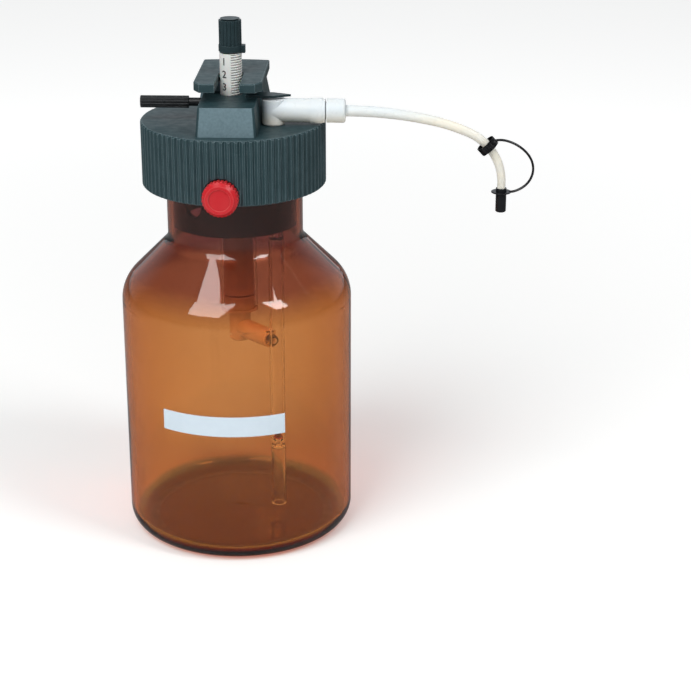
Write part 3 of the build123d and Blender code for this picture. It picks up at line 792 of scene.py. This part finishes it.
@dataclass
class ReagentBottle:
    """Amber bottle with its blank writing panel."""

    finishes: Finishes
    radius: float = 0.0535
    panel_low: float = 0.0641
    panel_high: float = 0.0737
    panel_from: float = -124.5
    panel_to: float = -62.1
    panel_columns: int = 48
    panel_rows: int = 8
    stand_off: float = 0.00004
    ink: float = 0.00012
    sharp_angle: float = 60.0

    def writing_panel(self) -> bpy.types.Object:
        """Make the fired-on panel, a thin patch that lies round the glass.

        Returns:
            The panel.
        """
        Bench.clear_selection()
        bpy.ops.mesh.primitive_grid_add(
            x_subdivisions=self.panel_columns, y_subdivisions=self.panel_rows, size=1.0
        )
        patch = bpy.context.object
        reach = self.radius + self.stand_off
        for vertex in patch.data.vertices:
            along = vertex.co.x + 0.5
            up = vertex.co.y + 0.5
            azimuth = math.radians(self.panel_from + along * (self.panel_to - self.panel_from))
            height = self.panel_low + up * (self.panel_high - self.panel_low)
            vertex.co = (reach * math.cos(azimuth), reach * math.sin(azimuth), height)
        Bench.thicken(patch, self.ink)
        Bench.outward(patch, self.sharp_angle)
        return Bench.settle(patch, "writing_panel")

    def build(self) -> None:
        """Dress the bottle and fire the panel on."""
        repaint({"bottle": self.finishes.amber})
        panel = self.writing_panel()
        Bench.dress(panel, self.finishes.panel)
        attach(panel, "bottle")
        log.info("writing_panel is %d faces", len(panel.data.polygons))


@dataclass
class CapAndBlock:
    """Knurled cap, neck insert and the block that stands on the cap."""

    finishes: Finishes

    def build(self) -> None:
        """Dress the moulded parts, the rubbers and the screws."""
        f = self.finishes
        repaint(
            {
                "knurled_cap": f.dark,
                "head_block": f.block,
                "hub_catch": f.dark_gloss,
                "neck_insert": f.black,
                "barrel_holder": f.black,
                "sealing_rings": f.rubber,
                "neck_gasket": f.rubber,
                "tube_grommet": f.rubber,
                "block_screws": f.steel,
                "spindle_nut": f.white,
                "lock_screw": f.black,
                "lock_pad": f.white,
                "clamp_screw": f.red,
                "clamp_pad": f.white,
            }
        )


@dataclass
class GlassWorks:
    """Barrel, plunger, elbow and valve tube, with the plate that lifts the plunger."""

    finishes: Finishes

    def build(self) -> None:
        """Dress the glass, the balls, the milky mouldings and the plate."""
        f = self.finishes
        repaint(
            {
                "glass_barrel": f.clear,
                "valve_tube": f.clear,
                "inlet_ball": f.ruby,
                "outlet_ball": f.ruby,
                "plunger": f.milky,
                "piston_seal": f.milky,
                "elbow_connector": f.milky,
                "finger_plate": f.dark,
            }
        )


@dataclass
class DoseSpindle:
    """White spindle with a thread cut on one side and the scale on the other."""

    finishes: Finishes
    axis: tuple[float, float] = (0.0, -0.005)
    radius: float = 0.005
    low: float = 0.152
    high: float = 0.2295
    sides: int = 96
    skin_share: float = 0.98
    pitch: float = 0.001132
    groove: float = 0.00034
    groove_half: float = 0.27
    groove_steepness: float = 1.35
    thread_from: float = -86.0
    thread_to: float = 94.0
    run_out: float = 3.0
    plain_below: float = 0.0012
    plain_above: float = 0.0004
    sharp_angle: float = 50.0
    neck_radius: float = 0.004
    neck_height: float = 0.0094
    # Two passes, because one subdivide call doesn't make enough rings for the thread
    ring_cuts: tuple[int, int] = (19, 17)
    shortest_edge: float = 0.001
    numbers: int = 10
    number_azimuth: float = -122.0
    number_height: float = 0.0033
    first_number: float = 0.2261
    number_step: float = 0.00566
    digit_share: float = 0.7
    letter_space: float = 0.92
    stroke_swell: float = 0.00006
    curve_steps: int = 6
    weld: float = 0.00001
    stand_off: float = 0.00002
    ink: float = 0.00004

    def cut(self, azimuth: float, height: float) -> float:
        """How deep the thread is cut at a place on the spindle.

        Args:
            azimuth: Direction from the axis, in degrees.
            height: Height in metres.

        Returns:
            A share from 0 on the crests to 1 in the groove's floor.
        """
        turn = (azimuth - self.thread_from) % 360.0
        span = self.thread_to - self.thread_from
        inside = min(turn, span - turn)
        if inside <= 0.0 or not self.low + self.plain_below < height < self.high - self.plain_above:
            return 0.0
        phase = ((height / self.pitch) - azimuth / 360.0) % 1.0
        wave = max(0.0, 1.0 - abs(phase - 0.5) / self.groove_half)
        return min(1.0, inside / self.run_out) * min(1.0, self.groove_steepness * wave)

    def on_skin(self, reach: float) -> bool:
        """Tell whether a distance from the axis is that of the outer skin."""
        return reach > self.radius * self.skin_share

    def turned_rod(self) -> bpy.types.Object:
        """Turn the plain rod with the narrower neck that carries the knob.

        Returns:
            The rod.
        """
        Bench.clear_selection()
        middle = (self.low + self.high) / 2
        bpy.ops.mesh.primitive_cylinder_add(
            vertices=self.sides, radius=self.radius, depth=self.high - self.low, location=(*self.axis, middle)
        )
        rod = bpy.context.object
        bpy.ops.object.transform_apply(location=True)
        bpy.ops.object.mode_set(mode="EDIT")
        bpy.ops.mesh.select_mode(type="FACE")
        bpy.ops.mesh.select_all(action="DESELECT")
        bpy.ops.object.mode_set(mode="OBJECT")
        for face in rod.data.polygons:
            face.select = face.normal.z > 0.9
        bpy.ops.object.mode_set(mode="EDIT")
        bpy.ops.mesh.inset(thickness=self.radius - self.neck_radius)
        bpy.ops.mesh.extrude_region_move(TRANSFORM_OT_translate={"value": (0, 0, self.neck_height)})
        bpy.ops.object.mode_set(mode="OBJECT")
        return rod

    def ring_cut(self, rod: bpy.types.Object, cuts: int) -> None:
        """Divide the rod's upright outer edges into rings.

        Args:
            rod: The rod, in object mode.
            cuts: Cuts in each edge.
        """
        for face in rod.data.polygons:
            face.select = False
        for edge in rod.data.edges:
            a, b = (rod.data.vertices[i].co for i in edge.vertices)
            reach = math.hypot(a.x - self.axis[0], a.y - self.axis[1])
            edge.select = abs(a.z - b.z) > self.shortest_edge and self.on_skin(reach)
        bpy.ops.object.mode_set(mode="EDIT")
        bpy.ops.mesh.select_mode(type="EDGE")
        bpy.ops.mesh.subdivide(number_cuts=cuts)
        bpy.ops.object.mode_set(mode="OBJECT")

    def cut_thread(self, rod: bpy.types.Object) -> None:
        """Press the thread into the skin and note its depth in the groove attribute.

        Args:
            rod: The rod with its rings.
        """
        depths = []
        for vertex in rod.data.vertices:
            dx, dy = vertex.co.x - self.axis[0], vertex.co.y - self.axis[1]
            reach = math.hypot(dx, dy)
            share = 0.0
            if self.on_skin(reach):
                share = self.cut(math.degrees(math.atan2(dy, dx)), vertex.co.z)
                scale = (self.radius - self.groove * share) / reach
                vertex.co.x = self.axis[0] + dx * scale
                vertex.co.y = self.axis[1] + dy * scale
            depths.append(share)
        rod.data.attributes.new("groove", "FLOAT", "POINT").data.foreach_set("value", depths)

    def spindle(self) -> bpy.types.Object:
        """Turn the spindle and cut its thread.

        Returns:
            The spindle with its groove attribute.
        """
        rod = self.turned_rod()
        for cuts in self.ring_cuts:
            self.ring_cut(rod, cuts)
        self.cut_thread(rod)
        bpy.ops.object.shade_smooth_by_angle(angle=math.radians(self.sharp_angle))
        return Bench.settle(rod, "threaded_spindle")

    def flat_number(self, value: int) -> bpy.types.Object:
        """Set one number as a flat mesh with enough corners to bend.

        Args:
            value: The volume in millilitres.

        Returns:
            The number, flat at the origin.
        """
        Bench.clear_selection()
        bpy.ops.object.text_add(location=(0, 0, 0))
        word = bpy.context.object
        word.data.body = str(value)
        word.data.size = self.number_height / self.digit_share
        word.data.space_character = self.letter_space
        word.data.align_x, word.data.align_y = "CENTER", "CENTER"
        word.data.offset = self.stroke_swell
        word.data.resolution_u = self.curve_steps
        bpy.ops.object.convert(target="MESH")
        bpy.ops.object.mode_set(mode="EDIT")
        bpy.ops.mesh.select_all(action="SELECT")
        bpy.ops.mesh.remove_doubles(threshold=self.weld)
        bpy.ops.mesh.subdivide(number_cuts=1)
        bpy.ops.object.mode_set(mode="OBJECT")
        return bpy.context.object

    def number(self, value: int) -> bpy.types.Object:
        """Print one number of the scale on the smooth side.

        Args:
            value: The volume in millilitres.

        Returns:
            The number, bent round the spindle.
        """
        word = self.flat_number(value)
        middle = self.first_number - self.number_step * (value - 1)
        reach = self.radius + self.stand_off
        low = min(v.co.y for v in word.data.vertices)
        high = max(v.co.y for v in word.data.vertices)
        for vertex in word.data.vertices:
            azimuth = math.radians(self.number_azimuth) + vertex.co.x / self.radius
            vertex.co = (
                self.axis[0] + reach * math.cos(azimuth),
                self.axis[1] + reach * math.sin(azimuth),
                middle + vertex.co.y - (low + high) / 2,
            )
        Bench.thicken(word, self.ink)
        return Bench.settle(word, f"scale_{value}")

    def build(self) -> None:
        """Make the spindle with its scale, and dress the knob and the collar."""
        rod = self.spindle()
        Bench.dress(rod, self.finishes.thread)
        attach(rod, "spindle")
        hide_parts("graduated_spindle")
        log.info("threaded_spindle is %d faces", len(rod.data.polygons))
        for value in range(1, self.numbers + 1):
            word = self.number(value)
            Bench.dress(word, self.finishes.numbers)
            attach(word, "spindle")
        log.info("the scale has %d numbers", self.numbers)
        repaint({"dose_knob": self.finishes.dark_gloss, "stop_collar": self.finishes.dark_gloss})


@dataclass
class Outlet:
    """Nozzle, nut, jet, tip cap and strap."""

    finishes: Finishes
    jet_ring: Point = (0.11500, -0.0103, 0.18909)
    jet_slope: float = 47.4
    jet_ring_bore: float = 0.00206
    cap_ring: Point = (0.12159, -0.0103, 0.1679)
    cap_ring_bore: float = 0.00245
    ring_wall: float = 0.0021
    ring_thickness: float = 0.00055
    ring_sides: int = 48
    ring_edge: float = 0.35
    ring_edge_steps: int = 3
    band_radius: float = 0.00055
    band_flatness: float = 1.3
    band_steps: int = 8
    band_round_steps: int = 3
    sharp_angle: float = 40.0
    # Places along the band's middle as x and z
    bow: tuple[tuple[float, float], ...] = (
        (0.1170, 0.1912),
        (0.1195, 0.1922),
        (0.1240, 0.1918),
        (0.1300, 0.1888),
        (0.1345, 0.1842),
        (0.1362, 0.1785),
        (0.1345, 0.1728),
        (0.1305, 0.1692),
        (0.1270, 0.1679),
        (0.1250, 0.1679),
    )

    def washer(self, bore: float) -> bpy.types.Object:
        """Mould a flat ring with rounded edges about the origin.

        Args:
            bore: Radius of its hole.

        Returns:
            The ring.
        """
        Bench.clear_selection()
        bpy.ops.mesh.primitive_cylinder_add(
            vertices=self.ring_sides, radius=bore + self.ring_wall, depth=self.ring_thickness
        )
        ring = bpy.context.object
        for face in ring.data.polygons:
            face.select = abs(face.normal.z) > 0.9
        bpy.ops.object.mode_set(mode="EDIT")
        bpy.ops.mesh.select_mode(type="FACE")
        bpy.ops.mesh.inset(thickness=self.ring_wall, use_individual=True)
        bpy.ops.mesh.bridge_edge_loops()
        bpy.ops.object.mode_set(mode="OBJECT")
        soft = ring.modifiers.new("edge", "BEVEL")
        soft.width = self.ring_thickness * self.ring_edge
        soft.segments = self.ring_edge_steps
        Bench.apply(ring, soft)
        return ring

    def band(self) -> bpy.types.Object:
        """Mould the bowed band between the two rings.

        Returns:
            The band.
        """
        Bench.clear_selection()
        bpy.ops.curve.primitive_nurbs_path_add()
        line = bpy.context.object
        spline = line.data.splines[0]
        spline.points.add(len(self.bow) - len(spline.points))
        for point, (x, z) in zip(spline.points, self.bow):
            point.co = (x, self.cap_ring[1], z, 1.0)
        spline.order_u = 4
        spline.use_endpoint_u = True
        spline.resolution_u = self.band_steps
        line.data.bevel_depth = self.band_radius
        line.data.bevel_resolution = self.band_round_steps
        line.data.use_fill_caps = True
        bpy.ops.object.convert(target="MESH")
        line = bpy.context.object
        bpy.ops.object.mode_set(mode="EDIT")
        bpy.ops.mesh.select_all(action="SELECT")
        bpy.ops.transform.resize(value=(1.0, self.band_flatness, 1.0), center_override=self.cap_ring)
        bpy.ops.object.mode_set(mode="OBJECT")
        return line

    def strap(self) -> bpy.types.Object:
        """Join the rings and the band into one soft moulding.

        Returns:
            The strap.
        """
        upper = self.washer(self.jet_ring_bore)
        upper.location = self.jet_ring
        upper.rotation_euler = (0.0, math.radians(90.0 + self.jet_slope), 0.0)
        Bench.settle(upper, "jet_ring")
        lower = self.washer(self.cap_ring_bore)
        lower.location = self.cap_ring
        Bench.settle(lower, "cap_ring")
        line = Bench.settle(self.band(), "band")
        Bench.only(line)
        upper.select_set(True)
        lower.select_set(True)
        bpy.ops.object.join()
        Bench.outward(line, self.sharp_angle)
        return Bench.settle(line, "tip_strap")

    def build(self) -> None:
        """Make the strap and dress the outlet's parts."""
        strap = self.strap()
        Bench.dress(strap, self.finishes.strap)
        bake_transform(strap)
        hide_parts("cap_strap")
        log.info("tip_strap is %d faces", len(strap.data.polygons))
        f = self.finishes
        repaint({"nozzle": f.milky, "nozzle_nut": f.milky, "delivery_jet": f.milky, "tip_cap": f.black})


# Studio


@dataclass
class Softbox:
    """One rectangular lamp that looks at the object."""

    name: str
    azimuth: float
    elevation: float
    distance: float
    width: float
    height: float
    power: float

    def build(self, target: Vector) -> None:
        """Hang the lamp and turn it to the object.

        Args:
            target: The point that the lamp looks at.
        """
        a, e = math.radians(self.azimuth), math.radians(self.elevation)
        away = Vector((math.cos(a) * math.cos(e), math.sin(a) * math.cos(e), math.sin(e)))
        data = bpy.data.lights.new(self.name, "AREA")
        data.shape = "RECTANGLE"
        data.size, data.size_y = self.width, self.height
        data.energy = self.power
        lamp = bpy.data.objects.new(self.name, data)
        bpy.context.scene.collection.objects.link(lamp)
        lamp.location = target + away * self.distance
        lamp.rotation_euler = (-away).to_track_quat("-Z", "Y").to_euler()


@dataclass
class Studio:
    """Pale floor, even surroundings, two softboxes and the camera at the photograph's angle."""

    floor_size: float = 12.0
    floor_cuts: int = 3
    floor_colour: Colour = (0.86, 0.86, 0.85)
    fibres: Pattern = Pattern(0.0015, 3.0, 0.3, 0.7)
    fibre_share: float = 0.08
    fibre_tone: float = 0.96
    floor_shine: float = 0.30
    near_reach: float = 0.12
    far_reach: float = 0.8
    near_glow: float = 0.10
    far_glow: float = 0.45
    sky_colour: Colour = (0.97, 0.985, 1.0)
    sky_strength: float = 0.42
    gloss_colour: Colour = (0.90, 0.95, 1.0)
    front_gloss: float = 0.12
    back_gloss: float = 0.75
    gloss_start: float = 0.35
    gloss_full: float = 0.97
    lamp_target: Point = (0.0, 0.0, 0.13)
    camera_place: Point = (0.0792, -0.8095, 0.4042)
    camera_tilt: float = 68.84
    camera_turn: float = 2.0
    sensor_width: float = 36.0
    focal_length: float = 95.63
    nearest: float = 0.05
    lamps: list[Softbox] = field(
        default_factory=lambda: [
            Softbox("key_softbox", -120.0, 46.0, 1.1, 0.62, 0.80, 10.0),
            Softbox("side_softbox", -32.0, 49.0, 1.2, 0.28, 0.48, 5.0),
        ]
    )

    def paper(self) -> Material:
        """Make paper that looks white to the camera, keeps shadows and is dim in reflections.

        Returns:
            The floor's material.
        """
        s = Sheet("floor_paper")
        pale = tuple(self.fibre_tone * c for c in self.floor_colour)
        colour = s.blend(s.spread(self.fibres, 0.0, self.fibre_share), self.floor_colour, pale)
        paper = s.add("ShaderNodeBsdfDiffuse", Color=colour)
        dim = s.add("ShaderNodeBsdfDiffuse", Color=(*[self.floor_shine] * 3, 1.0))
        light = s.add("ShaderNodeLightPath")
        sheen = s.either(s.mirrored(light), paper, dim)
        reach = s.tree.nodes.new("ShaderNodeVectorMath")
        reach.operation = "LENGTH"
        s.join(s.place(), reach.inputs[0])
        distance = reach.outputs["Value"]
        glow_there = s.ramp(distance, self.near_reach, self.far_reach, self.near_glow, self.far_glow)
        seen = s.combine("MULTIPLY", light.outputs["Is Camera Ray"], glow_there)
        glow = s.add("ShaderNodeEmission", Color=(1, 1, 1, 1), Strength=seen)
        both = s.add("ShaderNodeAddShader")
        s.join(sheen.outputs[0], both.inputs[0])
        s.join(glow.outputs[0], both.inputs[1])
        return s.finish(both)

    def floor(self) -> None:
        """Lay the floor, which stays white in the picture and keeps shadows."""
        Bench.clear_selection()
        bpy.ops.mesh.primitive_plane_add(size=self.floor_size, location=(0, 0, 0))
        plane = bpy.context.object
        bpy.ops.object.mode_set(mode="EDIT")
        bpy.ops.mesh.subdivide(number_cuts=self.floor_cuts)
        bpy.ops.object.mode_set(mode="OBJECT")
        Bench.settle(plane, "floor")
        Bench.dress(plane, self.paper())

    def world(self) -> None:
        """Give even light all round, white to camera and glass, and dimmer in reflections."""
        world = bpy.data.worlds.new("studio")
        bpy.context.scene.world = world
        world.use_nodes = True
        g = Graph(world.node_tree)
        light = g.add("ShaderNodeLightPath")
        soft = g.add("ShaderNodeBackground", Color=(*self.sky_colour, 1.0), Strength=self.sky_strength)
        white = g.add("ShaderNodeBackground", Color=(1.0, 1.0, 1.0, 1.0), Strength=1.0)
        seen = g.combine("MAXIMUM", light.outputs["Is Camera Ray"], light.outputs["Is Transmission Ray"])
        direct = g.either(seen, soft, white)
        around = g.add("ShaderNodeTexCoord").outputs["Generated"]
        back = g.add("ShaderNodeSeparateXYZ", Vector=around).outputs["Y"]
        strength = g.ramp(back, self.gloss_start, self.gloss_full, self.front_gloss, self.back_gloss)
        gloss = g.add("ShaderNodeBackground", Color=(*self.gloss_colour, 1.0), Strength=strength)
        shine = g.either(g.mirrored(light), direct, gloss)
        output = g.add("ShaderNodeOutputWorld")
        g.join(shine.outputs[0], output.inputs["Surface"])

    def camera(self) -> None:
        """Stand the camera where the photograph was taken from."""
        data = bpy.data.cameras.new("camera")
        data.sensor_width = self.sensor_width
        data.lens = self.focal_length
        data.clip_start = self.nearest
        camera = bpy.data.objects.new("camera", data)
        bpy.context.scene.collection.objects.link(camera)
        camera.location = self.camera_place
        camera.rotation_euler = (math.radians(self.camera_tilt), 0.0, math.radians(self.camera_turn))
        bpy.context.scene.camera = camera

    def build(self) -> None:
        """Set the stage up."""
        self.floor()
        self.world()
        self.camera()
        for lamp in self.lamps:
            lamp.build(Vector(self.lamp_target))
            log.info("%s hangs", lamp.name)
        bpy.context.scene.view_settings.view_transform = "Standard"


def main() -> None:
    """Build every sub-assembly in order."""
    logging.basicConfig(level=logging.INFO, format="%(message)s")
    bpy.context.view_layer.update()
    finishes = Finishes.make()
    Studio().build()
    for part in (
        ReagentBottle(finishes),
        CapAndBlock(finishes),
        GlassWorks(finishes),
        DoseSpindle(finishes),
        Outlet(finishes),
    ):
        part.build()
        log.info("%s is built", type(part).__name__)


if __name__ == "__main__":
    main()
